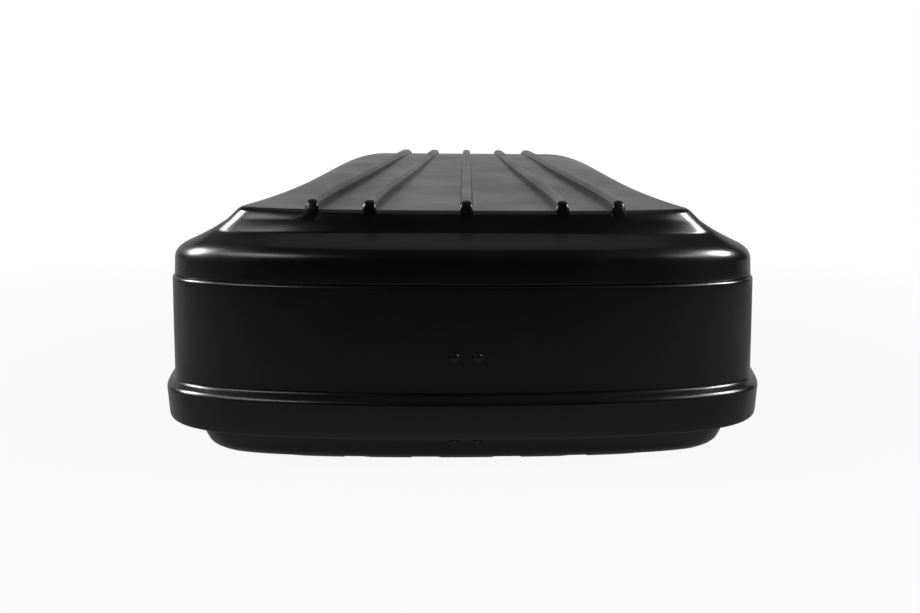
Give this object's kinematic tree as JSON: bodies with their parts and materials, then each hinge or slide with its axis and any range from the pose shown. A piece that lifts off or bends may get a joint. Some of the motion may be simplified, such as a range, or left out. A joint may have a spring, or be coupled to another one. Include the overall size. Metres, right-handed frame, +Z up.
{
  "type": "roof box",
  "caption": "Low black roof box: a ribbed one-piece lid hinged along its left side over a shallow base tray, with folding stays and a side lock.",
  "frame": {"origin": "middle of the underside of the middle pad under the base, half way between the rear end and the nose end", "axes": "+Z up; +Y along the box from its blunt rear end to its nose; +X to the lock side, with the hinges on the -X side"},
  "size_m": [0.8081, 1.3999, 0.372],
  "materials": {
    "lid_plastic": "black sheet plastic with a fine pebbled grain and a soft sheen",
    "base_plastic": "black sheet plastic with a fine pebbled grain",
    "guide_plastic": "moulded black plastic",
    "cover_rubber": "moulded black rubber",
    "black_rivet": "glossy black painted dome heads",
    "zinc_steel": "zinc plated pressed steel",
    "lock_chrome": "polished chrome"
  },
  "bodies": {
    "base": {"base_tray": "base_plastic", "floor_rail_left": "zinc_steel", "floor_rail_right": "zinc_steel", "hinge_base_leaf_1": "zinc_steel", "hinge_base_leaf_2": "zinc_steel", "hinge_base_leaf_3": "zinc_steel", "hinge_pin_1": "zinc_steel", "hinge_pin_2": "zinc_steel", "hinge_pin_3": "zinc_steel", "lock_catch_1": "zinc_steel", "lock_catch_2": "zinc_steel", "lock_catch_3": "zinc_steel", "slot_cover_front_left": "cover_rubber", "slot_cover_front_right": "cover_rubber", "slot_cover_rear_left": "cover_rubber", "slot_cover_rear_right": "cover_rubber", "stay_base_bracket_nose": "zinc_steel", "stay_base_bracket_rear": "zinc_steel", "stay_base_pin_nose": "zinc_steel", "stay_base_pin_rear": "zinc_steel", "stay_base_rivet_nose_1": "black_rivet", "stay_base_rivet_nose_2": "black_rivet", "stay_base_rivet_rear_1": "black_rivet", "stay_base_rivet_rear_2": "black_rivet"},
    "lid": {"hinge_lid_leaf_1": "zinc_steel", "hinge_lid_leaf_2": "zinc_steel", "hinge_lid_leaf_3": "zinc_steel", "lid_shell": "lid_plastic", "lock_bar_guide_1": "guide_plastic", "lock_bar_guide_2": "guide_plastic", "lock_bar_guide_3": "guide_plastic", "lock_bar_guide_4": "guide_plastic", "lock_collar": "lock_chrome", "lock_housing": "guide_plastic", "stay_lid_bracket_nose": "zinc_steel", "stay_lid_bracket_rear": "zinc_steel", "stay_lid_pin_nose": "zinc_steel", "stay_lid_pin_rear": "zinc_steel", "stay_lid_rivet_nose_1": "black_rivet", "stay_lid_rivet_nose_2": "black_rivet", "stay_lid_rivet_rear_1": "black_rivet", "stay_lid_rivet_rear_2": "black_rivet"},
    "lock_barrel": {"lock_barrel": "lock_chrome", "lock_cam": "zinc_steel"},
    "lock_bar": {"lock_bar": "zinc_steel"},
    "stay_rear_lower": {"stay_lower_arm_rear": "zinc_steel", "stay_elbow_pin_rear": "zinc_steel"},
    "stay_rear_upper": {"stay_upper_arm_rear": "zinc_steel"},
    "stay_nose_lower": {"stay_lower_arm_nose": "zinc_steel", "stay_elbow_pin_nose": "zinc_steel"},
    "stay_nose_upper": {"stay_upper_arm_nose": "zinc_steel"}
  },
  "joints": [
    {"name": "lid_hinge", "type": "hinge", "parent": "base", "child": "lid", "pos_m": [-0.3925, 0, 0.0337], "axis": [0, -1, 0], "range_deg": [0, 42]},
    {"name": "stay_rear_lower_pivot", "type": "hinge", "parent": "base", "child": "stay_rear_lower", "pos_m": [-0.02, -0.6415, 0.03], "axis": [0, -1, 0], "range_deg": [0, 51]},
    {"name": "stay_rear_upper_pivot", "type": "hinge", "parent": "lid", "child": "stay_rear_upper", "pos_m": [-0.012, -0.6387, 0.139], "axis": [0, -1, 0], "range_deg": [-49.7, 0]},
    {"name": "stay_nose_lower_pivot", "type": "hinge", "parent": "base", "child": "stay_nose_lower", "pos_m": [-0.02, 0.588, 0.03], "axis": [0, -1, 0], "range_deg": [0, 51]},
    {"name": "stay_nose_upper_pivot", "type": "hinge", "parent": "lid", "child": "stay_nose_upper", "pos_m": [-0.012, 0.5852, 0.139], "axis": [0, -1, 0], "range_deg": [-49.7, 0]},
    {"name": "lock_turn", "type": "hinge", "parent": "lid", "child": "lock_barrel", "pos_m": [0.3762, 0, 0.118], "axis": [1, 0, 0], "range_deg": [0, 90]},
    {"name": "bar_slide", "type": "slide", "parent": "lid", "child": "lock_bar", "axis": [0, 1, 0], "range_m": [0, 0.012]}
  ],
  "couplings": [
    {"joint": "stay_rear_lower_pivot", "follows": "lid_hinge", "ratio": 1.2123},
    {"joint": "stay_rear_upper_pivot", "follows": "lid_hinge", "ratio": -1.1814},
    {"joint": "stay_nose_lower_pivot", "follows": "lid_hinge", "ratio": 1.2123},
    {"joint": "stay_nose_upper_pivot", "follows": "lid_hinge", "ratio": -1.1814},
    {"joint": "lock_turn", "follows": "bar_slide", "rad_per_m": 130.9}
  ]
}
